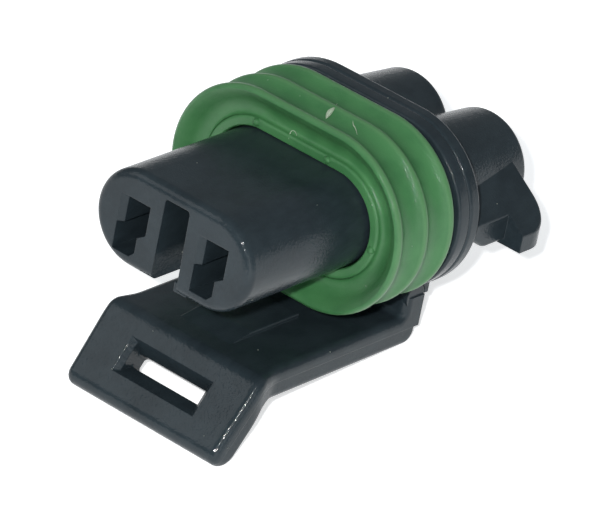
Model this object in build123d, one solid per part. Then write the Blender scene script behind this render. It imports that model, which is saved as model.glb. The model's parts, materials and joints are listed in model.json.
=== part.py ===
"""Two-way sealed wire connector housing, lying on its latch arm as it comes to rest.

Everything is modelled along the axis in which the connector plugs together: X runs across the two
cavities, Y runs from the mating face (Y = 0) to the wire end, and Z is away from the latch arm.
The finished pieces are then tilted onto the two lines that touch a table, and moved so that the
origin is the middle of the footprint. All sizes are in millimetres.
"""

import os
from math import asin, atan2, cos, degrees, hypot, radians, sin, tan

from build123d import *

# Driving dimensions of the spigot that enters the mating connector
CAVITY_PITCH = 7.9          # middle to middle of the two cavities
NOSE_WIDTH = 15.6
NOSE_HEIGHT = 8.0
NOSE_EDGE = 0.75            # rounding of the mating face
CAVITY_WIDTH = 2.95
CAVITY_TOP = 1.70           # roof of a cavity above the middle of the spigot
CAVITY_FLOOR = -3.05
KEY_LEDGE_WIDTH = 0.75      # ledge that keys the terminal, in the lower corner of each cavity
KEY_LEDGE_TOP = -0.75
KEY_LEDGE_SLOPE = 0.5
KEY_RIB_WIDTH = 0.45        # rib on the other wall, above the ledge's height
KEY_RIB_LEAD = 0.45         # its slope starts at the mating face and is this deep
SLOT_WIDTH = 2.45           # polarising slot between the cavities, open below
SLOT_FLARE = 0.08           # draft: the slot is this much wider on each side at its mouth
SLOT_ROOF = 3.05
SLOT_CORNER = 0.3
SLOT_DEPTH = 12.0
NIB_SIZE = 0.8              # leftover of the moulding at the foot of the slot
NIB_REACH = 0.45            # how far it stands into the slot
NIB_FRONT = 0.35

# Driving dimensions of the flange and the wire end
FLANGE_FRONT = 22.05
FLANGE_THICKNESS = 1.35
FLANGE_WIDTH = 23.0
FLANGE_HEIGHT = 14.65
FLANGE_EDGE = 0.35
TUBE_LENGTH = 10.1          # the two wire tubes, from the flange to the rim
TUBE_RADIUS_ROOT = 5.25
TUBE_RADIUS_RIM = 4.28
TUBE_RIM_ROUND = 0.55
WIRE_SEAL_BORE = 6.4        # diameter
WIRE_SEAL_DEPTH = 8.6
BORE_LEAD_IN = 0.35
EAR_REACH = 12.75           # outer face of the side ears, from the middle
EAR_SETBACK = 4.45          # from the flange to the ear's square front
EAR_LENGTH = 3.9
EAR_SLOPE = 35.0            # degrees by which the top of the ear falls outwards
EAR_SHOULDER = -1.35        # where that slope ends at the outer face
EAR_CREST = 2.3             # where it starts, inside the tube's wall
EAR_FLOOR = -2.85
EAR_CORNER = 2.5
EAR_EDGE = 0.25
RAIL_REACH = 11.05          # rail that joins each ear to the flange
RAIL_FLOOR = -2.45
RAIL_RUN = 1.9              # its floor rises towards the flange over this length
RAIL_RISE = 1.15
RAIL_ROUND = 1.5
RAIL_EDGE = 0.3

# Driving dimensions of the interface seal
SEAL_WIDTH = 23.05
SEAL_HEIGHT = 15.1
SEAL_RIBS = 3
SEAL_RIB_PITCH = 3.15
SEAL_RIB_DEPTH = 0.65
SEAL_CREST_ROUND = 0.55     # the valleys between the crests are wider arcs
SEAL_TAIL = 2.25            # from the last crest to the flange
SEAL_LIP_WALL = 0.85
SEAL_LIP_STEP = 0.5         # how far the lip stands proud of the dished front
SEAL_LIP_ROUND = 0.25
SEAL_DISH = 0.95            # depth of the dished front behind the first crest
SEAL_BORE_GAP = 0.03
SEAL_NIB_RADIUS = 0.42      # moulding nibs on the lip
SEAL_NIB_SINK = 0.14        # how deep the middle of a nib lies in the lip
SEAL_NIB_NEAR = 2.8         # the upper nibs, to the right and left of the middle
SEAL_NIB_FAR = 4.48
SEAL_NIB_DROP = 0.75        # the nib at the right end, below the middle

# Driving dimensions of the latch arm
ARM_TOP = -9.6              # face of the plate that looks at the spigot
ARM_THICKNESS = 2.7
ARM_HALF_WIDTH = 7.4
ARM_EDGE = 0.7              # rounding of the long edges
TAB_SHOULDER = 0.55         # the tab is this much wider than the plate, on each side
TAB_TAPER = 0.25            # and narrows by this much towards its tip
TAB_FLARE = 2.2             # length over which the arm widens into the tab
TAB_FLARE_START = 2.3       # where that starts, behind the bend
TAB_FLARE_ROUND = 4.0
BEND_Y = 4.2
TAB_ANGLE = 53.0            # degrees, down from the plate
TAB_LENGTH = 7.35
TIP_ROUND = 1.0
TIP_BACK_ROUND = 1.5
LEG_SETBACK = 0.7           # rear face of the leg, behind the flange
LEG_THICKNESS = 2.1
LEG_CROOK = 0.5             # inner corner between plate and leg
HEEL_ROUND = 1.2
BEND_ROUND = 1.4
CROOK_ROUND = 1.8           # hollow side of the bend
PARTING_DEPTH = 1.1         # the mould's parting line, below the face of the arm
PARTING_STEP = 0.12
WINDOW_WIDTH = 8.35         # latch window, where the mating connector's ramp snaps in
WINDOW_HEIGHT = 3.06
WINDOW_START = 1.9          # along the tab, from the bend
THROAT_WIDTH = 7.5
THROAT_HEIGHT = 1.2
THROAT_START = 2.7          # along the tab, from the bend
THROAT_DEPTH = 1.5
WINDOW_BEVEL = 0.42         # depth over which its ends close in on the throat's width
THROAT_CORNER = 0.35
PAD_HALF_WIDTH = 2.6        # low stiffening pad on the plate
PAD_FRONT = 6.5
PAD_RAMP = 2.5              # the pad rises out of the plate over this length
PAD_REAR = 14.7
PAD_HEIGHT = 0.35
PAD_EDGE = 0.14
HINGE_Z = -7.9              # line on which the leg's root flexes
HINGE_GAP = 0.08            # running gap round the root
ROOT_BACK = 0.5             # wall of the root behind the leg

# Sizes that follow from the ones above
HALF_PITCH = CAVITY_PITCH / 2
NOSE_FLOOR = -NOSE_HEIGHT / 2
FLANGE_REAR = FLANGE_FRONT + FLANGE_THICKNESS
TUBE_END = FLANGE_REAR + TUBE_LENGTH
BORE_FLOOR = TUBE_END - WIRE_SEAL_DEPTH
EAR_FRONT = FLANGE_REAR + EAR_SETBACK
EAR_REAR = EAR_FRONT + EAR_LENGTH
SEAL_CREST = SEAL_HEIGHT / 2
SEAL_BORE = NOSE_HEIGHT / 2 + SEAL_BORE_GAP
SEAL_LIP_TOP = SEAL_BORE + SEAL_LIP_WALL
SEAL_CENTRE = (SEAL_WIDTH - SEAL_HEIGHT) / 2
CREST_LAST = FLANGE_FRONT - SEAL_TAIL
CREST_FIRST = CREST_LAST - (SEAL_RIBS - 1) * SEAL_RIB_PITCH
DISH_Y = CREST_FIRST + SEAL_DISH
SEAL_FRONT = DISH_Y - SEAL_LIP_STEP
SEAL_VALLEY = SEAL_CREST - SEAL_RIB_DEPTH
TAB_SLOPE = radians(TAB_ANGLE)
TAB_HALF_WIDTH = ARM_HALF_WIDTH + TAB_SHOULDER
LEG_REAR = FLANGE_REAR + LEG_SETBACK
LEG_FRONT = LEG_REAR - LEG_THICKNESS
HINGE_RADIUS = LEG_THICKNESS / 2
HINGE_Y = LEG_REAR - HINGE_RADIUS
HINGE_HALF_LENGTH = ARM_HALF_WIDTH - PARTING_STEP
BELOW = 2 * FLANGE_HEIGHT   # a reach that is longer than the part is high
CUT = 1.0                   # how far a cutter runs past the face that it opens


def along(sketch, start, end):
    """A prism between two stations of Y. The sketch's own y axis is Z."""
    return extrude(Plane.XZ.offset(-start) * sketch, amount=start - end)


def block(x_range, y_range, z_range):
    """A box given by its limits along the three axes."""
    size = [high - low for low, high in (x_range, y_range, z_range)]
    middle = [(low + high) / 2 for low, high in (x_range, y_range, z_range)]
    return Pos(*middle) * Box(*size)


def both_sides(piece):
    """A piece made for positive X, or its mirror image, for each side."""
    return [piece, mirror(piece, about=Plane.YZ)]


def nose():
    """Oval spigot with a rounded mating face, from the face to the flange."""
    body = along(SlotOverall(NOSE_WIDTH, NOSE_HEIGHT), 0, FLANGE_REAR)
    rim = body.faces().sort_by(Axis.Y)[0].edges()
    return fillet(rim, NOSE_EDGE)


def cavity_outline():
    """Mouth of one cavity: the key ledge narrows it below on the right, the key rib above on the left."""
    side = CAVITY_WIDTH / 2
    rib = side - KEY_RIB_WIDTH
    inner = side - KEY_LEDGE_WIDTH
    return Polygon(
        (-side, CAVITY_FLOOR),
        (inner - KEY_LEDGE_SLOPE, CAVITY_FLOOR),
        (inner, CAVITY_FLOOR + KEY_LEDGE_SLOPE),
        (inner, KEY_LEDGE_TOP - KEY_LEDGE_SLOPE),
        (side, KEY_LEDGE_TOP),
        (side, CAVITY_TOP),
        (-rib, CAVITY_TOP),
        (-rib, KEY_LEDGE_TOP),
        (-side, KEY_LEDGE_TOP),
        align=None,
    )


def cavity_lead_in():
    """Slope that leads from the mating face onto the key rib."""
    side = CAVITY_WIDTH / 2
    rib = side - KEY_RIB_WIDTH
    plan = Polygon((-side, -CUT), (-rib, -CUT), (-rib, KEY_RIB_LEAD), (-side, 0), align=None)
    return Pos(0, 0, KEY_LEDGE_TOP) * extrude(plan, amount=CAVITY_TOP - KEY_LEDGE_TOP)


def polarising_slot():
    """Slot between the cavities, open below, with draft."""
    low = NOSE_FLOOR - CUT
    top = SLOT_WIDTH / 2
    mouth = top + SLOT_FLARE
    outline = Polygon((-mouth, low), (mouth, low), (top, SLOT_ROOF), (-top, SLOT_ROOF), align=None)
    corners = outline.vertices().sort_by(Axis.Y)[-2:]
    return along(fillet(corners, SLOT_CORNER), -CUT, SLOT_DEPTH)


def slot_nib():
    """Small leftover of the moulding at the foot of the slot, on one side."""
    wall = SLOT_WIDTH / 2
    return block((wall - NIB_REACH, wall + NIB_SIZE), (NIB_FRONT, NIB_FRONT + NIB_SIZE),
                 (NOSE_FLOOR, NOSE_FLOOR + NIB_SIZE))


def flange():
    """Thin oval collar that the seal backs onto."""
    collar = along(SlotOverall(FLANGE_WIDTH, FLANGE_HEIGHT), FLANGE_FRONT, FLANGE_REAR)
    faces = collar.faces().sort_by(Axis.Y)
    return fillet(faces[0].edges() + faces[-1].edges(), FLANGE_EDGE)


def wire_tube():
    """One wire tube: a tapered sleeve with a rounded rim."""
    outline = Polygon(
        (0, FLANGE_FRONT),
        (TUBE_RADIUS_ROOT, FLANGE_FRONT),
        (TUBE_RADIUS_RIM, TUBE_END),
        (0, TUBE_END),
        align=None,
    )
    rim = outline.vertices().group_by(Axis.Y)[-1].sort_by(Axis.X)[-1]
    return Pos(HALF_PITCH, 0, 0) * revolve(fillet(rim, TUBE_RIM_ROUND), Axis.Y, 360)


def wire_bore():
    """Bore for the wire's own seal, with a lead-in at the rim."""
    radius = WIRE_SEAL_BORE / 2
    outline = Polygon(
        (0, BORE_FLOOR),
        (radius, BORE_FLOOR),
        (radius, TUBE_END - BORE_LEAD_IN),
        (radius + BORE_LEAD_IN, TUBE_END),
        (radius + BORE_LEAD_IN, TUBE_END + CUT),
        (0, TUBE_END + CUT),
        align=None,
    )
    return Pos(HALF_PITCH, 0, 0) * revolve(outline, Axis.Y, 360)


def lug_section(reach, floor):
    """Section of an ear or rail: its top falls outwards from the tube to a low outer face."""
    fall = tan(radians(EAR_SLOPE))
    shoulder = EAR_SHOULDER + (EAR_REACH - reach) * fall
    inner = EAR_REACH - (EAR_CREST - EAR_SHOULDER) / fall
    return Polygon((HALF_PITCH, floor), (reach, floor), (reach, shoulder), (inner, EAR_CREST),
                   (HALF_PITCH, EAR_CREST), align=None)


def shoulder_edges(body, reach):
    """Edges of the sloping top at and beyond the outer face of the tube."""
    sloped = body.faces().filter_by(lambda f: abs(f.normal_at().Z - cos(radians(EAR_SLOPE))) < 0.01)
    return [edge for edge in sloped.sort_by(Axis.Z)[-1].edges() if (edge @ 0.5).X > reach]


def ear():
    """Side ear that a wire-end cover snaps behind: square in front, round behind, sloping on top."""
    body = along(lug_section(EAR_REACH, EAR_FLOOR), EAR_FRONT, EAR_REAR)
    plan = Polygon((HALF_PITCH, EAR_FRONT), (EAR_REACH, EAR_FRONT), (EAR_REACH, EAR_REAR),
                   (HALF_PITCH, EAR_REAR), align=None)
    corner = plan.vertices().sort_by_distance(Vector(EAR_REACH, EAR_REAR))[0]
    body &= Pos(0, 0, -BELOW) * extrude(fillet(corner, EAR_CORNER), amount=2 * BELOW)
    return fillet(shoulder_edges(body, RAIL_REACH), EAR_EDGE)


def rail():
    """Rail from each ear to the flange, with the same sloping top and a floor that rises forward."""
    start = FLANGE_FRONT + FLANGE_THICKNESS / 2
    body = along(lug_section(RAIL_REACH, RAIL_FLOOR), start, EAR_FRONT + CUT)
    rise = (FLANGE_REAR + RAIL_RUN, RAIL_FLOOR)
    side_view = Polygon((start, RAIL_FLOOR + RAIL_RISE), (FLANGE_REAR, RAIL_FLOOR + RAIL_RISE), rise,
                        (EAR_FRONT + CUT, RAIL_FLOOR), (EAR_FRONT + CUT, EAR_CREST),
                        (start, EAR_CREST), align=None)
    corner = side_view.vertices().sort_by_distance(Vector(*rise))[0]
    body &= extrude(Plane.YZ * fillet(corner, RAIL_ROUND), amount=RAIL_REACH)
    outer = body.faces().sort_by(Axis.X)[-1].edges()
    return fillet([edge for edge in outer if abs((edge % 0.5).Y) > 0.5], RAIL_EDGE)


def latch_root():
    """Root of the latch arm: the foot of the flange, hollowed for the rounded end of the leg."""
    return block((-HINGE_HALF_LENGTH, HINGE_HALF_LENGTH), (FLANGE_FRONT, LEG_REAR + ROOT_BACK),
                 (HINGE_Z, 0))


def latch_seat():
    """Hollow that clears the round top of the leg over its whole travel."""
    radius = HINGE_RADIUS + HINGE_GAP
    reach = ARM_HALF_WIDTH + CUT
    round_top = Pos(0, HINGE_Y, HINGE_Z) * Rot(0, 90, 0) * Cylinder(radius, 2 * reach)
    way_out = block((-reach, reach), (HINGE_Y - radius, HINGE_Y + radius), (HINGE_Z - BELOW, HINGE_Z))
    return round_top + way_out


def housing():
    """The black moulding: spigot, flange, wire tubes, ears and the root of the latch."""
    body = nose() + flange() + latch_root()
    for piece in (wire_tube(), ear(), rail()):
        body += both_sides(piece)
    body -= polarising_slot()
    for side in (-1, 1):
        mouth = Pos(side * HALF_PITCH, 0, 0) * cavity_outline()
        body -= along(mouth, -CUT, BORE_FLOOR + CUT)
        body -= Pos(side * HALF_PITCH, 0, 0) * cavity_lead_in()
    body -= both_sides(wire_bore())
    body -= latch_seat()
    return body + slot_nib()


def half_ribs():
    """Arcs of the ribs: a small one round each crest meets a wide one out of each valley."""
    half = SEAL_RIB_PITCH / 2
    flank = 2 * atan2(SEAL_RIB_DEPTH, half)
    run = SEAL_CREST_ROUND * sin(flank)
    drop = SEAL_CREST_ROUND * (1 - cos(flank))
    for step in range(1, 2 * SEAL_RIBS):
        crest = CREST_FIRST + step // 2 * SEAL_RIB_PITCH
        way = 1 if step % 2 else -1
        turn = (crest + way * run, SEAL_CREST - drop)
        yield TangentArc((crest, SEAL_CREST), turn, tangent=(way, 0))
        yield TangentArc((crest + way * half, SEAL_VALLEY), turn, tangent=(-way, 0))


def seal_profile():
    """Section of the seal: station along Y against height above the row of cavity middles."""
    depth, rise = SEAL_DISH, SEAL_CREST - SEAL_CREST_ROUND - SEAL_LIP_TOP
    lean = atan2(depth, rise) + asin(SEAL_CREST_ROUND / hypot(depth, rise))
    touch = (CREST_FIRST - SEAL_CREST_ROUND * cos(lean),
             SEAL_CREST - SEAL_CREST_ROUND * (1 + sin(lean)))
    crown = TangentArc((CREST_FIRST, SEAL_CREST), touch, tangent=(-1, 0))
    outline = Polyline(
        (CREST_LAST + SEAL_RIB_PITCH / 2, SEAL_VALLEY),
        (FLANGE_FRONT, SEAL_VALLEY),
        (FLANGE_FRONT, SEAL_BORE),
        (SEAL_FRONT, SEAL_BORE),
        (SEAL_FRONT, SEAL_LIP_TOP - SEAL_LIP_ROUND),
        (SEAL_FRONT + SEAL_LIP_ROUND, SEAL_LIP_TOP),
        (DISH_Y, SEAL_LIP_TOP),
        touch,
    )
    return make_face([*outline.edges(), crown, *half_ribs()])


def seal_nibs():
    """Moulding nibs on the front of the lip: three, and the same three turned half round."""
    height = SEAL_BORE + SEAL_LIP_WALL / 2
    shoulder = (height ** 2 - (SEAL_NIB_FAR - SEAL_CENTRE) ** 2) ** 0.5
    end = SEAL_CENTRE + (height ** 2 - SEAL_NIB_DROP ** 2) ** 0.5
    spots = [(SEAL_NIB_NEAR, height), (-SEAL_NIB_FAR, shoulder), (end, -SEAL_NIB_DROP)]
    spots += [(-x, -z) for x, z in spots]
    return [Pos(x, SEAL_FRONT + SEAL_NIB_SINK, z) * Sphere(SEAL_NIB_RADIUS) for x, z in spots]


def interface_seal():
    """Oval seal with three ribs: straight runs above and below, half turns at the ends."""
    section = Plane.YZ * seal_profile()
    run = extrude(section, amount=SEAL_CENTRE, both=True)
    axis = Axis((SEAL_CENTRE, 0, 0), (0, 1, 0))
    half_turn = revolve(Pos(SEAL_CENTRE, 0, 0) * section, axis, 180)
    body = run + mirror(run, about=Plane.XY) + both_sides(half_turn)
    return body + seal_nibs()


def tab_point(reach, depth):
    """Point of the side view: reach along the tab from the bend, depth below its outer face."""
    y = BEND_Y - reach * cos(TAB_SLOPE) + depth * sin(TAB_SLOPE)
    z = ARM_TOP - reach * sin(TAB_SLOPE) - depth * cos(TAB_SLOPE)
    return y, z


def arm_side_view(depth, rear_rounds):
    """Side view of the arm down to a depth: tab, plate and rear leg, with their roundings."""
    under = ARM_TOP - depth
    bend, tip = tab_point(0, 0), tab_point(TAB_LENGTH, 0)
    back = tab_point(TAB_LENGTH, depth)
    hollow = (BEND_Y + depth * tan(TAB_SLOPE / 2), under)
    crook, heel = (LEG_FRONT, ARM_TOP), (LEG_REAR, under)
    outline = Polygon((LEG_FRONT, HINGE_Z), crook, bend, tip, back, hollow, heel, (LEG_REAR, HINGE_Z),
                      align=None)
    rounds = [(crook, LEG_CROOK), (bend, BEND_ROUND), (tip, TIP_ROUND), (hollow, CROOK_ROUND)]
    if rear_rounds:
        rounds += [(back, TIP_BACK_ROUND), (heel, HEEL_ROUND)]
    for point, radius in rounds:
        corner = outline.vertices().sort_by_distance(Vector(*point))[0]
        outline = fillet(corner, radius)
    return outline


def arm_plan(inset):
    """Plan of the arm: straight sides that widen into the tab."""
    wide = TAB_HALF_WIDTH - inset
    narrow = ARM_HALF_WIDTH - inset
    start = BEND_Y + TAB_FLARE_START
    front = tab_point(TAB_LENGTH, 0)[0] - CUT
    rear = LEG_REAR + CUT
    right = [(wide - TAB_TAPER, front), (wide, start - TAB_FLARE), (narrow, start), (narrow, rear)]
    left = [(-x, y) for x, y in reversed(right)]
    plan = Polygon(*right, *left, align=None)
    corners = plan.vertices().filter_by(lambda v: front < v.Y < rear)
    return fillet(corners, TAB_FLARE_ROUND)


def arm_layer(depth, inset, rear_rounds):
    """The arm at one thickness and width, with rounded long edges."""
    side_view = extrude(Plane.YZ * arm_side_view(depth, rear_rounds), amount=TAB_HALF_WIDTH, both=True)
    body = side_view & Pos(0, 0, -BELOW) * extrude(arm_plan(inset), amount=BELOW)
    plate = body.faces().filter_by(Axis.Z).sort_by(lambda f: abs(f.center().Z - ARM_TOP))[0]
    return fillet(plate.edges().filter_by(Axis.Y), ARM_EDGE - inset)


def latch_window():
    """Window of the tab: bevelled at its ends, with long sides that slope into a narrow throat."""
    outer = Plane(origin=(0, *tab_point(0, 0)), x_dir=(1, 0, 0),
                  z_dir=(0, sin(TAB_SLOPE), -cos(TAB_SLOPE)))
    mouth_middle = WINDOW_START + WINDOW_HEIGHT / 2
    throat_middle = THROAT_START + THROAT_HEIGHT / 2
    share = WINDOW_BEVEL / THROAT_DEPTH
    sill_middle = mouth_middle + share * (throat_middle - mouth_middle)
    sill_height = WINDOW_HEIGHT + share * (THROAT_HEIGHT - WINDOW_HEIGHT)
    inner = outer.offset(THROAT_DEPTH) * Pos(0, throat_middle, 0)
    mouth = outer * Pos(0, mouth_middle, 0) * Rectangle(WINDOW_WIDTH, WINDOW_HEIGHT)
    sill = outer.offset(WINDOW_BEVEL) * Pos(0, sill_middle, 0) * Rectangle(THROAT_WIDTH, sill_height)
    throat = inner * Rectangle(THROAT_WIDTH, THROAT_HEIGHT)
    through = extrude(inner * RectangleRounded(THROAT_WIDTH, THROAT_HEIGHT, THROAT_CORNER),
                      amount=ARM_THICKNESS)
    way_in = extrude(mouth, amount=-CUT)
    return loft([mouth, sill]) + loft([sill, throat]) + through + way_in


def stiffening_pad():
    """Low rounded pad along the middle of the plate, which rises out of it in front."""
    low, high = ARM_TOP - PAD_HEIGHT, ARM_TOP + PAD_HEIGHT
    side_view = Polygon((PAD_FRONT, low), (PAD_REAR, low), (PAD_REAR, high), (PAD_FRONT + PAD_RAMP, high),
                        (PAD_FRONT, ARM_TOP), align=None)
    pad = extrude(Plane.YZ * side_view, amount=PAD_HALF_WIDTH, both=True)
    return fillet(pad.faces().filter_by(Axis.Z).sort_by(Axis.Z)[-1].edges(), PAD_EDGE)


def latch_arm():
    """Latch arm: plate under the spigot, window tab in front and leg at the rear."""
    core = arm_layer(ARM_THICKNESS, PARTING_STEP, True)
    skin = arm_layer(PARTING_DEPTH, 0, False)
    root = Pos(0, HINGE_Y, HINGE_Z) * Rot(0, 90, 0) * Cylinder(HINGE_RADIUS, 2 * HINGE_HALF_LENGTH)
    return core + skin + root + stiffening_pad() - latch_window()


def rest_tilt():
    """Angle of the table line, which touches the tip and the heel of the arm."""
    tip_y, tip_z = tab_point(TAB_LENGTH - TIP_BACK_ROUND, ARM_THICKNESS - TIP_BACK_ROUND)
    heel_y = LEG_REAR - HEEL_ROUND
    heel_z = ARM_TOP - ARM_THICKNESS + HEEL_ROUND
    run, rise = heel_y - tip_y, heel_z - tip_z
    return degrees(atan2(rise, run) - asin((HEEL_ROUND - TIP_BACK_ROUND) / hypot(run, rise)))


def main():
    pieces = {
        "housing": housing(),
        "interface_seal": interface_seal(),
        "latch_arm": latch_arm(),
    }
    tilt = Rot(-rest_tilt(), 0, 0)
    tilted = {name: tilt * piece for name, piece in pieces.items()}
    bounds = Compound(children=[Compound(p.solids()) for p in tilted.values()]).bounding_box()
    low, high = bounds.min, bounds.max
    place = Pos(-(low.X + high.X) / 2, -(low.Y + high.Y) / 2, -low.Z)
    os.makedirs("parts", exist_ok=True)
    for name, piece in tilted.items():
        placed = place * piece
        placed.label = name
        export_step(placed, f"parts/{name}.step")
    hinge = place * tilt * Pos(0, HINGE_Y, HINGE_Z)
    print("tilt", round(rest_tilt(), 3), "shift", place.position, "hinge", hinge.position)


if __name__ == "__main__":
    main()
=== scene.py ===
# %% [markdown]
# A sealed wire connector on a pale table
#
# The object is a small black connector housing with a green rubber seal round its spigot. The solid
# model already has its real size and place, so this lesson only dresses it. It loads the model as a
# fixed frame, sweeps a finer seal round the spigot, adds the step of the flange and the few bits of
# dust that the real one has picked up, mixes the two plastics from nodes, and lights it with a small
# flash over the lens. Everything is in metres, and a millimetre is MM.

import json
from math import atan2, ceil, cos, pi, radians, sin

import bmesh
import bpy
from mathutils import Matrix, Vector
from mathutils.bvhtree import BVHTree


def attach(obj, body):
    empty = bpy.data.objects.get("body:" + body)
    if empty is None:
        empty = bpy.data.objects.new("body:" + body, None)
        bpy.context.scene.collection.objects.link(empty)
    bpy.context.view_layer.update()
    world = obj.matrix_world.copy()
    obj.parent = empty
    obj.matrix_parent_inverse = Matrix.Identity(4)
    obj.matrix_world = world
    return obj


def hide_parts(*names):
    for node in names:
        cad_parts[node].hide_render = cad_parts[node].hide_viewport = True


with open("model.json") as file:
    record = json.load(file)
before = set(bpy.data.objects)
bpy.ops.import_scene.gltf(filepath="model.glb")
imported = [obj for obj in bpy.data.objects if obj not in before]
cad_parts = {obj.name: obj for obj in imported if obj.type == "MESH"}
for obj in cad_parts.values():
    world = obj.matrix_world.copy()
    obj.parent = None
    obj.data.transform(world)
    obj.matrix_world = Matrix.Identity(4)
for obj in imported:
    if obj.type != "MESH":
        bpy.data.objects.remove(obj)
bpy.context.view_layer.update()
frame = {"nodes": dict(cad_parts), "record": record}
MM = 0.001
nodes = frame["nodes"]

# %% [markdown]
# The connector's own axes
#
# The connector lies nose up on its latch arm, so its long axis is tipped against the table. Measuring
# along the table would make every length a sum of sines, so the pieces are drawn in the connector's
# own axes instead: x across the two cavities, y from the mating face to the wires, z away from the
# latch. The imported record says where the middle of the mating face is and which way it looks, and
# that is enough for a matrix that carries a drawing to its place.

# %% The connector's axes
spigot = next(mount for mount in frame["record"]["mounts"] if mount["name"] == "mating_spigot")
across = Vector((1, 0, 0))
inward = -Vector(spigot["axis"]).normalized()
CONNECTOR = Matrix((across, inward, across.cross(inward))).transposed().to_4x4()
CONNECTOR.translation = Vector(spigot["pos_m"])
print("nose up by", round(90 - inward.angle(Vector((0, 0, -1))) * 180 / pi, 2), "degrees")

# %% [markdown]
# The camera
#
# A long lens from far away keeps the spigot's edges almost parallel, as in a catalogue picture. The
# place of the camera is given by an azimuth and an elevation round a point on the object, and by a
# small roll, because the photographer's camera wasn't quite level. An aim and a roll are easier to
# change than a position and three angles.

# %% Camera
AZIMUTH, ELEVATION, ROLL = 39.082, 35.573, 3.601
CAMERA_DISTANCE = 449.0 * MM
LENS, SENSOR = 347.2, 36.0
NEAREST, FARTHEST = 0.01, 10.0      # metres from the camera that it sees
AIM = Vector((0.73, -0.87, 8.41)) * MM
PHOTO_WIDTH, PHOTO_HEIGHT = 600, 507


def direction(azimuth, elevation):
    """Unit vector from the object towards a viewer at that azimuth and elevation."""
    a, e = radians(azimuth), radians(elevation)
    return Vector((sin(a) * cos(e), -cos(a) * cos(e), sin(e)))


def look_at(place, target, roll=0.0):
    """Matrix of a camera or lamp at place that looks at target, turned by roll about its view."""
    back = (place - target).normalized()
    right = Vector((0, 0, 1)).cross(back).normalized()
    up = back.cross(right)
    turned = Matrix((right, up, back)).transposed() @ Matrix.Rotation(radians(roll), 3, "Z")
    return Matrix.Translation(place) @ turned.to_4x4()


camera_data = bpy.data.cameras.new("camera")
camera_data.lens = LENS
camera_data.sensor_width = SENSOR
camera_data.clip_start, camera_data.clip_end = NEAREST, FARTHEST
camera = bpy.data.objects.new("camera", camera_data)
camera.matrix_world = look_at(AIM + direction(AZIMUTH, ELEVATION) * CAMERA_DISTANCE, AIM, ROLL)
bpy.context.scene.collection.objects.link(camera)
bpy.context.scene.camera = camera
print("camera at", [round(v / MM, 1) for v in camera.matrix_world.translation])

# %% [markdown]
# Trees of nodes
#
# Materials and Geometry Nodes are both trees, and a long tree is hard to read as a list of links. Two
# small helpers keep it short. Tree adds a node and joins its inputs in one line. Number lets a value
# in the tree be written as ordinary arithmetic, where each sign adds one Math node. A formula in the
# script then looks like the formula it stands for.

# %% Helpers for trees


class Number:
    """A number in a tree. Arithmetic on it adds Math nodes."""

    def __init__(self, tree, socket):
        self.tree, self.socket = tree, socket

    def math(self, operation, *others):
        """The result of a Math node on this number and others."""
        node = self.tree.nodes.new("ShaderNodeMath")
        node.operation = operation
        for place, value in enumerate((self, *others)):
            self.tree.set(node, place, value)
        return Number(self.tree, node.outputs[0])

    def __add__(self, other):
        return self.math("ADD", other)

    def __sub__(self, other):
        return self.math("SUBTRACT", other)

    def __mul__(self, other):
        return self.math("MULTIPLY", other)

    def __truediv__(self, other):
        return self.math("DIVIDE", other)


class Tree:
    """Adds nodes to a node tree and joins them."""

    def __init__(self, tree):
        self.nodes, self.links = tree.nodes, tree.links

    def set(self, node, name, value):
        """Gives an input a value, or links it to another node's output."""
        socket = node.inputs[name]
        value = getattr(value, "socket", value)
        if isinstance(value, bpy.types.NodeSocket):
            self.links.new(value, socket)
        else:
            socket.default_value = value

    def add(self, kind, settings=None, inputs=None):
        """A node of that kind. Settings are its properties, inputs are values or other sockets."""
        node = self.nodes.new(kind)
        for name, value in (settings or {}).items():
            setattr(node, name, value)
        for name, value in (inputs or {}).items():
            self.set(node, name, value)
        return node

    def number(self, socket):
        """A socket as a Number."""
        return Number(self, socket)


# %% [markdown]
# Geometry Nodes as a machine
#
# A tree of Geometry Nodes is used here as a machine: its inputs are named sizes, a modifier runs it
# once, and the mesh that comes out is kept and the modifier thrown away. The machine is built by
# name, and its sizes are set by the sockets' identifiers, because a modifier doesn't know names.

# %% Helpers for geometry
SOCKETS = {float: "NodeSocketFloat", int: "NodeSocketInt", bpy.types.Material: "NodeSocketMaterial"}
SHARP = radians(38)         # edges that turn by more than this stay crisp
SEAM = 0.001 * MM           # points closer than this are one point
SEAM_LEFT = 0.0005 * MM     # the same for what a machine leaves behind


def machine(name, **sizes):
    """An empty geometry tree with a Geometry input and one named input for each size."""
    group = bpy.data.node_groups.new(name, "GeometryNodeTree")
    group.interface.new_socket("Geometry", in_out="INPUT", socket_type="NodeSocketGeometry")
    for size, kind in sizes.items():
        group.interface.new_socket(size.replace("_", " "), in_out="INPUT", socket_type=SOCKETS[kind])
    group.interface.new_socket("Geometry", in_out="OUTPUT", socket_type="NodeSocketGeometry")
    tree = Tree(group)
    return group, tree, tree.add("NodeGroupInput").outputs


def finish_machine(tree, geometry, material):
    """Ends a tree: what it made becomes real geometry in one material."""
    real = tree.add("GeometryNodeRealizeInstances", inputs={"Geometry": geometry})
    painted = tree.add("GeometryNodeSetMaterial", inputs={"Geometry": real.outputs[0],
                                                          "Material": material})
    tree.add("NodeGroupOutput", inputs={"Geometry": painted.outputs[0]})


def as_plain_mesh(name, maker):
    """The evaluated maker as a mesh object of that name. The maker is thrown away."""
    graph = bpy.context.evaluated_depsgraph_get()
    mesh = bpy.data.meshes.new_from_object(maker.evaluated_get(graph), depsgraph=graph)
    maker.modifiers.clear()
    bpy.data.objects.remove(maker)
    made = bpy.data.objects.new(name, mesh)
    bpy.context.scene.collection.objects.link(made)
    return made


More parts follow.
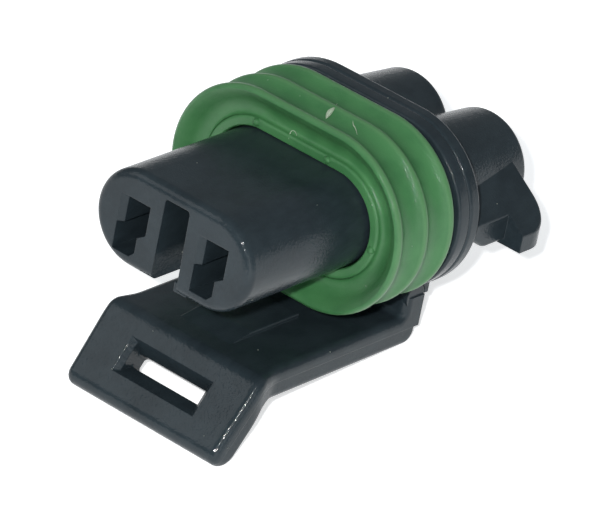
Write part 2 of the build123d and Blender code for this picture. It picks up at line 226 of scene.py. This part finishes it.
def run_machine(name, group, start, **sizes):
    """Runs a tree on a mesh, and returns the result as a plain mesh object."""
    maker = bpy.data.objects.new(name + "_maker", start)
    bpy.context.scene.collection.objects.link(maker)
    modifier = maker.modifiers.new("make", "NODES")
    modifier.node_group = group
    for item in group.interface.items_tree:
        if item.in_out == "INPUT" and item.name != "Geometry":
            modifier[item.identifier] = sizes[item.name.replace(" ", "_")]
    return as_plain_mesh(name, maker)


def face_outwards(piece):
    """Merges the piece's seams, turns its faces outwards and keeps its sharp edges sharp."""
    shape = bmesh.new()
    shape.from_mesh(piece.data)
    bmesh.ops.remove_doubles(shape, verts=shape.verts, dist=SEAM_LEFT)
    bmesh.ops.recalc_face_normals(shape, faces=shape.faces)
    for face in shape.faces:
        face.smooth = True
    for edge in shape.edges:
        edge.smooth = edge.calc_face_angle(0) < SHARP
    shape.to_mesh(piece.data)
    shape.free()


def hang(piece, body):
    """Hangs a finished piece on a body."""
    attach(piece, body)
    print(piece.name, "faces", len(piece.data.polygons))


# %% [markdown]
# Black nylon
#
# The housing is glass-filled nylon. In the hand it is a soft satin black: the mould was spark eroded,
# which leaves a skin of tiny pits, and the glass just under it makes the gloss patchy. One flat black
# would look like paint, so the colour and the gloss each wander a little over a few millimetres, and
# a fine bump breaks the skin up. The Bevel node rounds the corners of the light only, which puts the
# thin bright line on moulded edges without any extra faces. A thin clear coat with a coarser bump
# stands for the resin skin: it throws back the flash as separate sparks.

# %% Nylon
NYLON_DEEP = (0.0150, 0.0225, 0.0275, 1.0)
NYLON_PALE = (0.0230, 0.0335, 0.0400, 1.0)
NYLON_SHEEN = (0.80, 0.94, 1.0, 1.0)
GLOSS_PATCH, GLOSS_STREAK = 3.2 * MM, 0.5 * MM      # sizes of the lumps in each noise
PIT, WAVE, SPARK = 0.11 * MM, 0.9 * MM, 0.20 * MM
STREAK_STRETCH = (1.0, 0.25, 1.0)                   # streaks run four times as long in y
SKIN_DEPTH, SPARK_DEPTH = 0.03 * MM, 0.035 * MM
LIT_EDGE_RADIUS = 0.10 * MM


def noise(tree, point, size, detail=2.0, roughness=0.5):
    """Noise whose lumps are about size across, in metres."""
    node = tree.add("ShaderNodeTexNoise", inputs={"Vector": point, "Scale": 1.0 / size,
                                                  "Detail": detail, "Roughness": roughness})
    return tree.number(node.outputs["Fac"])


def bump(tree, height, strength, distance, normal=None):
    """Normal of a surface with that height on it."""
    node = tree.add("ShaderNodeBump", inputs={"Height": height, "Strength": strength,
                                              "Distance": distance})
    if normal is not None:
        tree.set(node, "Normal", normal)
    return node.outputs["Normal"]


def mix_colour(tree, share, low, high):
    """A colour between low and high."""
    node = tree.add("ShaderNodeMix", {"data_type": "RGBA"}, {0: share, 6: low, 7: high})
    return node.outputs[2]


def ramp(tree, value, start, end):
    """Zero below start, one above end, and smooth between."""
    node = tree.add("ShaderNodeMapRange", {"interpolation_type": "SMOOTHSTEP"},
                    {"Value": value, "From Min": start, "From Max": end})
    return tree.number(node.outputs["Result"])


def new_material(name):
    """A material, its tree and its shader node."""
    material = bpy.data.materials.new(name)
    material.use_nodes = True
    return material, Tree(material.node_tree), material.node_tree.nodes["Principled BSDF"]


def black_nylon():
    """Material of the housing, the latch arm and the collar."""
    material, tree, shader = new_material("black_nylon")
    point = tree.add("ShaderNodeTexCoord").outputs["Object"]
    clouds = noise(tree, point, GLOSS_PATCH, 3.0)
    flow = tree.add("ShaderNodeMapping", inputs={"Vector": point, "Scale": STREAK_STRETCH})
    streaks = noise(tree, flow.outputs[0], GLOSS_STREAK, 2.0)
    pits = noise(tree, point, PIT, 2.0, 0.6)
    waves = noise(tree, point, WAVE, 1.0)
    sparks = noise(tree, point, SPARK, 1.0, 0.7)
    tone = ramp(tree, clouds * 0.7 + streaks * 0.3, 0.30, 0.70)
    tree.set(shader, "Base Color", mix_colour(tree, tone, NYLON_DEEP, NYLON_PALE))
    tree.set(shader, "Roughness", clouds * 0.14 + streaks * 0.08 + 0.36)
    edges = tree.add("ShaderNodeBevel", {"samples": 6}, {"Radius": LIT_EDGE_RADIUS})
    skin = bump(tree, pits * 0.7 + waves * 0.6, 0.35, SKIN_DEPTH, edges.outputs[0])
    tree.set(shader, "Normal", skin)
    tree.set(shader, "Specular IOR Level", 0.05)
    tree.set(shader, "Specular Tint", NYLON_SHEEN)
    tree.set(shader, "Coat Weight", 0.50)
    tree.set(shader, "Coat Roughness", 0.08)
    tree.set(shader, "Coat Normal", bump(tree, sparks, 0.9, SPARK_DEPTH, edges.outputs[0]))
    return material


nylon = black_nylon()
for name in ("housing", "latch_arm"):
    nodes[name].data.materials.clear()
    nodes[name].data.materials.append(nylon)
print("nylon nodes", len(nylon.node_tree.nodes))

# %% [markdown]
# Green silicone
#
# The seal is soft moulded silicone, wiped with a film of oil so that it slides into the mating shell.
# Three things make it look like that and not like green paint. The rubber is slightly mottled. The
# crests of the ribs carry a painted highlight, a paler green for the light they catch, and the seal
# stores its own height above the spigot as an attribute, so that the material knows where the crests
# and the valleys are. The oil is a clear coat over a grainy bump, and under a small flash it breaks
# into rows of sparks on the flanks.

# %% Silicone
RUBBER_DEEP = (0.040, 0.150, 0.052, 1.0)
RUBBER_PALE = (0.052, 0.178, 0.063, 1.0)
# Painted highlight: the paler green painted on the crests of the ribs, for the light they catch.
RUBBER_CREST_HIGHLIGHT = (0.085, 0.215, 0.088, 1.0)
MOTTLE, GRAIN, OIL = 2.4 * MM, 0.13 * MM, 0.19 * MM     # sizes of the lumps in each noise
# Painted highlight on the crests: between these heights from the crest the green pales into it.
CREST_HIGHLIGHT_FROM, CREST_HIGHLIGHT_TO = -0.16 * MM, 0.04 * MM                # heights from the crest, in between it pales
CREST_HIGHLIGHT_RAGGED = 0.1 * MM
GRAIN_DEPTH, OIL_DEPTH = 0.04 * MM, 0.055 * MM


def green_silicone(crest):
    """Material of the seal, from the height of its crests in metres."""
    material, tree, shader = new_material("green_silicone")
    point = tree.add("ShaderNodeTexCoord").outputs["Object"]
    height = tree.number(tree.add("ShaderNodeAttribute", {"attribute_name": "rise"}).outputs["Fac"])
    clouds = noise(tree, point, MOTTLE, 3.0)
    grain = noise(tree, point, GRAIN, 2.0, 0.6)
    oil = noise(tree, point, OIL, 2.0, 0.7)
    rubber = mix_colour(tree, ramp(tree, clouds, 0.35, 0.65), RUBBER_DEEP, RUBBER_PALE)
    # Painted highlight: near the crests the green is painted paler, and made a little rougher too.
    crest_highlight = ramp(tree, height + grain * CREST_HIGHLIGHT_RAGGED, crest + CREST_HIGHLIGHT_FROM, crest + CREST_HIGHLIGHT_TO)
    tree.set(shader, "Base Color", mix_colour(tree, crest_highlight * 0.8, rubber, RUBBER_CREST_HIGHLIGHT))
    tree.set(shader, "Roughness", clouds * 0.12 + crest_highlight * 0.06 + 0.42)
    tree.set(shader, "Normal", bump(tree, grain * 0.6 + clouds * 0.8, 0.30, GRAIN_DEPTH))
    tree.set(shader, "Specular IOR Level", 0.15)
    tree.set(shader, "Coat Weight", 0.50)
    tree.set(shader, "Coat Roughness", 0.07)
    tree.set(shader, "Coat Normal", bump(tree, oil, 1.0, OIL_DEPTH))
    return material


# %% [markdown]
# The seal
#
# The seal is one section carried round an oval: three ribs with tight crests and wide valleys, a
# dished front, and a thin lip that hugs the spigot. A sweep along a curve would leave the twist of
# the section to Blender, so a small Geometry Nodes machine does it by rule. It lays out a flat grid,
# one row for each point of the section and one column for each step round the oval. Then it moves
# each grid point out from the oval's middle line by the section's height, in the column's direction.
# The columns on the right turn about one centre and those on the left about the other, and the long
# faces between them are the straight runs. The section itself comes in as the modifier's own mesh.

# %% The oval machine


def oval_machine():
    """Tree that carries a section, drawn as a row of points (0, station, height), round an oval."""
    group, tree, sizes = machine("carry_round_oval", Centre_distance=float, Columns=int,
                                 Rows=int, Material=bpy.types.Material)
    columns, rows = tree.number(sizes["Columns"]), tree.number(sizes["Rows"])
    here = tree.add("GeometryNodeInputPosition").outputs[0]
    grid = tree.add("GeometryNodeMeshGrid", inputs={"Size X": 1.0, "Size Y": 1.0,
                                                    "Vertices X": columns + 1, "Vertices Y": rows})
    in_grid = tree.add("ShaderNodeSeparateXYZ", inputs={0: here})
    column = (tree.number(in_grid.outputs["X"]) + 0.5) * columns
    row = ((tree.number(in_grid.outputs["Y"]) + 0.5) * (rows - 1)).math("ROUND")
    drawn_point = tree.add("GeometryNodeSampleIndex", {"data_type": "FLOAT_VECTOR"},
                           {"Geometry": sizes["Geometry"], "Index": row, "Value": here})
    drawn = tree.add("ShaderNodeSeparateXYZ", inputs={0: drawn_point.outputs[0]})
    height = tree.number(drawn.outputs["Z"])
    angle = (column + 0.5) / columns * (2 * pi)
    centre = angle.math("COSINE").math("SIGN") * sizes["Centre distance"]
    moved = tree.add("ShaderNodeCombineXYZ", inputs={
        "X": height * angle.math("COSINE") + centre,
        "Y": drawn.outputs["Y"],
        "Z": height * angle.math("SINE")})
    noted = tree.add("GeometryNodeStoreNamedAttribute", {"data_type": "FLOAT", "domain": "POINT"},
                     {"Geometry": grid.outputs["Mesh"], "Name": "rise", "Value": height})
    swept = tree.add("GeometryNodeSetPosition", inputs={"Geometry": noted.outputs[0],
                                                        "Position": moved.outputs[0]})
    closed = tree.add("GeometryNodeMergeByDistance", inputs={"Geometry": swept.outputs[0],
                                                             "Distance": SEAM})
    finish_machine(tree, closed.outputs[0], sizes["Material"])
    return group


OVAL = oval_machine()


def oval_piece(name, section, centre_distance, columns, material):
    """A closed ring: the section, as (station, height) points in millimetres, round an oval."""
    points = [Vector((0, station, height)) * MM for station, height in section]
    row = bpy.data.meshes.new(name + "_section")
    row.from_pydata([*points, points[0]], [], [])
    piece = run_machine(name, OVAL, row, Centre_distance=centre_distance * MM, Columns=columns,
                        Rows=len(points) + 1, Material=material)
    face_outwards(piece)
    piece.data.transform(CONNECTOR)
    return piece


# %% The section of the seal
SEAL_HEIGHT = 15.1
SEAL_CENTRE = 3.975         # from the middle to the centre of each half turn
RIBS = 3
RIB_PITCH = 3.15
RIB_DEPTH = 0.70
CREST_ROUND = 0.42
CREST_FIRST = 13.5          # station of the first crest, from the mating face
CREST_FIRST_START = 172.0   # where the first crest's arc begins, in degrees
TAIL_END = 20.68
TAIL_DROP = 0.15            # the tail lies this much below the valleys
BORE_HEIGHT = 4.03
BORE_CHAMFER = 0.1
LIP_WALL = 0.85
LIP_ROUND = 0.30
LIP_FRONT = 13.95
DISH_DEPTH = 0.95
DISH_CORNER = 0.35
DISH_WALL = (0.03, 0.8)     # the dish's wall leans forward by the first over a rise of the second
FRONT_ROUND = ((0.42, 1.25), (-0.18, 0.80))     # back from the first crest, and down from its top
COLUMNS = 176               # steps round the oval
CREST = SEAL_HEIGHT / 2
VALLEY = CREST - RIB_DEPTH


def arc(centre, radius, start, end, step=9.0):
    """Points of an arc in the section, from one angle to another in degrees."""
    count = ceil(abs(end - start) / step)
    turns = [radians(start + (end - start) * i / count) for i in range(count + 1)]
    return [(centre[0] + radius * cos(turn), centre[1] + radius * sin(turn)) for turn in turns]


def seal_section():
    """Points round the seal's section: over the ribs, down the tail, along the bore, up the front."""
    half = RIB_PITCH / 2
    flank = 2 * atan2(RIB_DEPTH, half)
    wide = half / sin(flank) - CREST_ROUND
    flank = flank * 180 / pi
    outline = []
    for number in range(RIBS):
        crest = (CREST_FIRST + number * RIB_PITCH, CREST - CREST_ROUND)
        start = CREST_FIRST_START if number == 0 else 90 + flank
        outline += arc(crest, CREST_ROUND, start, 90 - flank)
        if number < RIBS - 1:
            valley = (crest[0] + half, VALLEY + wide)
            outline += arc(valley, wide, 270 - flank, 270 + flank)[1:-1]
    lip_top = BORE_HEIGHT + LIP_WALL
    dish = CREST_FIRST + DISH_DEPTH
    outline += [(TAIL_END, VALLEY - TAIL_DROP), (TAIL_END, BORE_HEIGHT)]
    outline += [(LIP_FRONT + BORE_CHAMFER, BORE_HEIGHT), (LIP_FRONT, BORE_HEIGHT + BORE_CHAMFER)]
    outline += arc((LIP_FRONT + LIP_ROUND, lip_top - LIP_ROUND), LIP_ROUND, 180, 90)
    outline += arc((dish - DISH_CORNER, lip_top + DISH_CORNER), DISH_CORNER, 270, 360)[:-1]
    outline.append((dish - DISH_WALL[0], lip_top + DISH_WALL[1]))
    outline += [(CREST_FIRST + back, CREST - down) for back, down in FRONT_ROUND]
    return outline


section = seal_section()
print("section points", len(section))

# %% The seal
silicone = green_silicone(CREST * MM)
seal = oval_piece("ribbed_seal", section, SEAL_CENTRE, COLUMNS, silicone)
hang(seal, "housing")
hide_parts("interface_seal")

# %% [markdown]
# The step of the flange
#
# Behind the seal the flange is stepped: a black collar of its own height stands in front of it, with
# a fine line where the two meet. The same machine makes it from a plain section with rounded
# corners, and the two roundings that face each other draw the line.

# %% The collar
COLLAR_FRONT, COLLAR_REAR = 20.78, 22.12
COLLAR_HEIGHT = 7.28
COLLAR_CENTRE = 4.175       # from the middle to the centre of each half turn
COLLAR_EDGE = 0.26


def collar_section():
    """Section of the collar: a bar with its two outer corners rounded."""
    top = COLLAR_HEIGHT - COLLAR_EDGE
    outline = arc((COLLAR_FRONT + COLLAR_EDGE, top), COLLAR_EDGE, 180, 90)
    outline += arc((COLLAR_REAR - COLLAR_EDGE, top), COLLAR_EDGE, 90, 0)
    return outline + [(COLLAR_REAR, BORE_HEIGHT), (COLLAR_FRONT, BORE_HEIGHT)]


collar = oval_piece("flange_collar", collar_section(), COLLAR_CENTRE, COLUMNS, nylon)
hang(collar, "housing")

# %% [markdown]
# Rays through the photograph
#
# The lint and some of the dust lie where the photograph shows them. A pixel of the photograph is a
# ray from the camera, and the place where that ray first meets a surface is where the speck lies,
# whatever the surface's shape. A tree of the surface's faces finds that place quickly.

# %% Where a pixel lands
CARRIERS = {"housing": nodes["housing"], "latch": nodes["latch_arm"], "seal": seal}
SURFACES = {name: BVHTree.FromPolygons([v.co for v in piece.data.vertices],
                                       [face.vertices for face in piece.data.polygons])
            for name, piece in CARRIERS.items()}
NIB_PIXEL = (327, 163)


def through_pixel(x, y):
    """Start and direction of the camera's ray through a pixel of the photograph."""
    focal = LENS / SENSOR * PHOTO_WIDTH
    ray = Vector(((x - PHOTO_WIDTH / 2) / focal, (PHOTO_HEIGHT / 2 - y) / focal, -1))
    return camera.matrix_world.translation, (camera.matrix_world.to_3x3() @ ray).normalized()


def landing(carrier, x, y, lift=0.0):
    """Where the ray through a pixel meets a carrier, lifted off its face by that much."""
    spot, normal, _, _ = SURFACES[carrier].ray_cast(*through_pixel(x, y))
    return spot + normal * lift


print("a nib lands at", [round(v / MM, 2) for v in landing("seal", *NIB_PIXEL)])

# %% [markdown]
# Grains on points
#
# Nibs and dust are both small round things on given points, so one machine makes them: it sets an
# instance of a coarse ball on each point, turns and stretches it at random from a fixed seed, and
# makes the result real. A ball of 80 faces is plenty for something a tenth of a millimetre across.

# %% The grain machine


def grain_machine():
    """Tree that puts a ball of its own size and turn on every point."""
    group, tree, sizes = machine("grains_on_points", Radius=float, Smallest=float, Flatness=float,
                                 Seed=int, Material=bpy.types.Material)
    ball = tree.add("GeometryNodeMeshIcoSphere", inputs={"Radius": sizes["Radius"],
                                                         "Subdivisions": 2})
    low = tree.add("ShaderNodeCombineXYZ", inputs={"X": sizes["Smallest"], "Y": sizes["Smallest"],
                                                   "Z": sizes["Flatness"]})
    high = tree.add("ShaderNodeCombineXYZ", inputs={"X": 1.0, "Y": 1.0, "Z": sizes["Flatness"]})
    stretch = tree.add("FunctionNodeRandomValue", {"data_type": "FLOAT_VECTOR"},
                       {0: low.outputs[0], 1: high.outputs[0], "Seed": sizes["Seed"]})
    turn = tree.add("FunctionNodeRandomValue", {"data_type": "FLOAT_VECTOR"},
                    {0: (0, 0, 0), 1: (2 * pi, 2 * pi, 2 * pi), "Seed": sizes["Seed"]})
    grains = tree.add("GeometryNodeInstanceOnPoints", inputs={
        "Points": sizes["Geometry"], "Instance": ball.outputs["Mesh"],
        "Rotation": turn.outputs[0], "Scale": stretch.outputs[0]})
    smooth = tree.add("GeometryNodeSetShadeSmooth", inputs={"Geometry": grains.outputs[0]})
    finish_machine(tree, smooth.outputs[0], sizes["Material"])
    return group


GRAINS = grain_machine()


def grains(name, points, radius, smallest, flatness, seed, material):
    """One mesh of small balls on the points."""
    cloud = bpy.data.meshes.new(name + "_points")
    cloud.from_pydata(points, [], [])
    return run_machine(name, GRAINS, cloud, Radius=radius, Smallest=smallest, Flatness=flatness,
                       Seed=seed, Material=material)


# %% Nibs of the seal
NIB_RADIUS = 0.36
NIB_HEIGHT = BORE_HEIGHT + LIP_WALL * 0.55
NIB_STATION = LIP_FRONT + 0.10
# Each nib's middle across the cavities, and the angle about it at which the nib stands on the lip.
NIB_SPOTS = ((2.8, 90), (-SEAL_CENTRE, 96), (SEAL_CENTRE, -9))


def nib_places():
    """Three nibs on the lip, and the same three turned half round."""
    places = []
    for middle, angle in NIB_SPOTS:
        spot = Vector((middle + NIB_HEIGHT * cos(radians(angle)), NIB_STATION,
                       NIB_HEIGHT * sin(radians(angle))))
        places += [spot, Vector((-spot.x, spot.y, -spot.z))]
    return [CONNECTOR @ (spot * MM) for spot in places]


nibs = grains("seal_nibs", nib_places(), NIB_RADIUS * MM, smallest=0.9, flatness=0.95, seed=3,
              material=silicone)
hang(nibs, "housing")

# %% [markdown]
# Dust and lint
#
# This one has been handled, and the flash shows it: a flake and two short fibres cling to the oily
# seal, and a few specks lie on the black. They are pale grey and quite matt. The fibres are thin
# round curves laid a hair above the rubber, and the specks come from the grain machine. Six of the
# specks are in the photograph, three on the housing and three on the latch arm. The other twelve,
# with all of those on the seal, are made up, so that the dust doesn't end where the picture's does.

# %% Dust
DUST_COLOUR = (0.36, 0.40, 0.34, 1.0)
LINT_COLOUR = (0.42, 0.52, 0.38, 1.0)
DUST_PATCH, DUST_DEPTH = 0.25 * MM, 0.03 * MM
SPECK_RADIUS, SPECK_LIFT = 0.05 * MM, 0.01 * MM


def dust(name, colour):
    """A matt material with darker patches."""
    material, tree, shader = new_material(name)
    point = tree.add("ShaderNodeTexCoord").outputs["Object"]
    patches = noise(tree, point, DUST_PATCH, 2.0)
    darker = tuple(part * 0.6 for part in colour[:3]) + (1.0,)
    tree.set(shader, "Base Color", mix_colour(tree, patches, darker, colour))
    tree.set(shader, "Roughness", 0.8)
    tree.set(shader, "Normal", bump(tree, patches, 0.5, DUST_DEPTH))
    return material


grey_dust = dust("grey_dust", DUST_COLOUR)
lint = dust("pale_lint", LINT_COLOUR)
SPECKS = {                  # pixels, the first three of each black piece seen in the photograph
    "housing": ((197, 163), (317, 205), (388, 98), (182, 252), (252, 300), (497, 204)),
    "latch": ((153, 331), (204, 436), (112, 369), (258, 350), (330, 352), (228, 448)),
    "seal": ((222, 128), (300, 96), (366, 286), (412, 246), (372, 205), (268, 80)),
}
for carrier, pixels in SPECKS.items():
    spots = [landing(carrier, x, y, SPECK_LIFT) for x, y in pixels]
    specks = grains("dust_on_" + carrier, spots, SPECK_RADIUS, smallest=0.4, flatness=0.5, seed=7,
                    material=grey_dust)
    body = "latch" if carrier == "latch" else "housing"
    hang(specks, body)

# %% Lint on the seal
LINT_LIFT = 0.04 * MM
LINT = {                    # pixels along each fibre, with its thickness there in millimetres
    "lint_flake": ((326, 119, 0.05), (328, 115, 0.45), (331, 111, 0.40), (335, 108, 0.10),
                   (337, 104, 0.04)),
    "lint_fibre": ((353, 121, 0.03), (353, 125, 0.09), (356, 129, 0.08), (357, 135, 0.03)),
    "lint_curl": ((289, 139, 0.03), (290, 133, 0.07), (293, 130, 0.06), (296, 132, 0.05),
                  (297, 136, 0.03)),
}


def fibre(name, points):
    """A thin fibre along pixels of the photograph, lying on the seal."""
    curve = bpy.data.curves.new(name, "CURVE")
    curve.dimensions = "3D"
    curve.bevel_depth = 0.5 * MM        # half a millimetre, so a point's radius is its thickness
    curve.bevel_resolution = 2
    curve.use_fill_caps = True
    spline = curve.splines.new("NURBS")
    spline.points.add(len(points) - 1)
    for control, (x, y, thickness) in zip(spline.points, points):
        control.co = (*landing("seal", x, y, LINT_LIFT), 1.0)
        control.radius = thickness
    spline.order_u = 3
    spline.use_endpoint_u = True
    maker = bpy.data.objects.new(name + "_maker", curve)
    bpy.context.scene.collection.objects.link(maker)
    piece = as_plain_mesh(name, maker)
    piece.data.materials.clear()
    piece.data.materials.append(lint)
    face_outwards(piece)
    return piece


for name, points in LINT.items():
    hang(fibre(name, points), "housing")

# %% [markdown]
# Table and background
#
# The real picture was cut out on white. Here the table does that job: for the camera, for reflections
# and for what is seen through clear things it glows by itself, just enough to come out white where
# the flash reaches it, and it still darkens a little in the object's shadow. For all other light it
# is an ordinary pale sheet, so it doesn't add light to the object beyond what white paper would.

# %% Table
TABLE_COLOUR = (0.90, 0.91, 0.92, 1.0)
TABLE_GLOW = 0.62
TABLE_HALF = 3.0            # metres, so that its edge is never seen
FIBRE, FIBRE_DEPTH = 0.6 * MM, 0.02 * MM


def white_to_the_eye(tree):
    """One for rays that look straight, mirrored or through glass at a surface, and zero for light."""
    path = tree.add("ShaderNodeLightPath").outputs
    seen = tree.number(path["Is Camera Ray"])
    for kind in ("Is Glossy Ray", "Is Transmission Ray"):
        seen = seen.math("MAXIMUM", path[kind])
    return seen


def table_white():
    """Material of the table."""
    material, tree, shader = new_material("table_white")
    point = tree.add("ShaderNodeTexCoord").outputs["Object"]
    fibres = noise(tree, point, FIBRE, 3.0)
    tree.set(shader, "Base Color", TABLE_COLOUR)
    tree.set(shader, "Roughness", 0.85)
    tree.set(shader, "Specular IOR Level", 0.2)
    tree.set(shader, "Normal", bump(tree, fibres, 0.1, FIBRE_DEPTH))
    tree.set(shader, "Emission Color", (1.0, 1.0, 1.0, 1.0))
    tree.set(shader, "Emission Strength", white_to_the_eye(tree) * TABLE_GLOW)
    return material


sheet = bpy.data.meshes.new("table")
corners = [(-TABLE_HALF, -TABLE_HALF, 0), (TABLE_HALF, -TABLE_HALF, 0),
           (TABLE_HALF, TABLE_HALF, 0), (-TABLE_HALF, TABLE_HALF, 0)]
sheet.from_pydata(corners, [], [(0, 1, 2, 3)])
sheet.materials.append(table_white())
table = bpy.data.objects.new("table", sheet)
bpy.context.scene.collection.objects.link(table)

# %% [markdown]
# Light
#
# The photograph looks as if it was taken with a small flash over the lens, in a room that is dark
# above the table. That would explain why faces that look at the camera are the brightest, why tops
# that mirror the dark room are nearly black, and why the rounded edges carry small hard sparks. So
# the main lamp is a small disk just above the lens. A large, weak one on the left stands for a pale
# wall, a low one on the right for the light that comes back off the table, and the world for the
# rest of the room.

# %% Lamps and world
ROOM_COLOUR = (0.86, 0.94, 1.0, 1.0)
BACKDROP_COLOUR = (0.93, 0.94, 0.95, 1.0)   # what the camera sees past the table
ROOM_STRENGTH = 0.26
LAMPS = {                   # azimuth, elevation, distance and size in metres, power in watts
    "flash": (AZIMUTH - 4, ELEVATION + 2, 0.45, 0.016, 1.6),
    "wall": (-50, 36, 0.8, 0.5, 0.8),
    "bounce": (62, 9, 0.6, 0.4, 0.6),
}


def lamp(name, azimuth, elevation, distance, size, power):
    """A round lamp that shines on the object from that side."""
    data = bpy.data.lights.new(name, "AREA")
    data.shape = "DISK"
    data.size = size
    data.energy = power
    made = bpy.data.objects.new(name, data)
    made.matrix_world = look_at(AIM + direction(azimuth, elevation) * distance, AIM)
    bpy.context.scene.collection.objects.link(made)


def room():
    """A dim room for the light, and a pale backdrop for the camera."""
    world = bpy.data.worlds.new("room")
    bpy.context.scene.world = world
    world.use_nodes = True
    tree = Tree(world.node_tree)
    seen = tree.number(tree.add("ShaderNodeLightPath").outputs["Is Camera Ray"])
    background = world.node_tree.nodes["Background"]
    tree.set(background, "Color", mix_colour(tree, seen, ROOM_COLOUR, BACKDROP_COLOUR))
    tree.set(background, "Strength", seen * (1.0 - ROOM_STRENGTH) + ROOM_STRENGTH)


room()
for name, setting in LAMPS.items():
    lamp(name, *setting)
bpy.context.scene.view_settings.view_transform = "Standard"
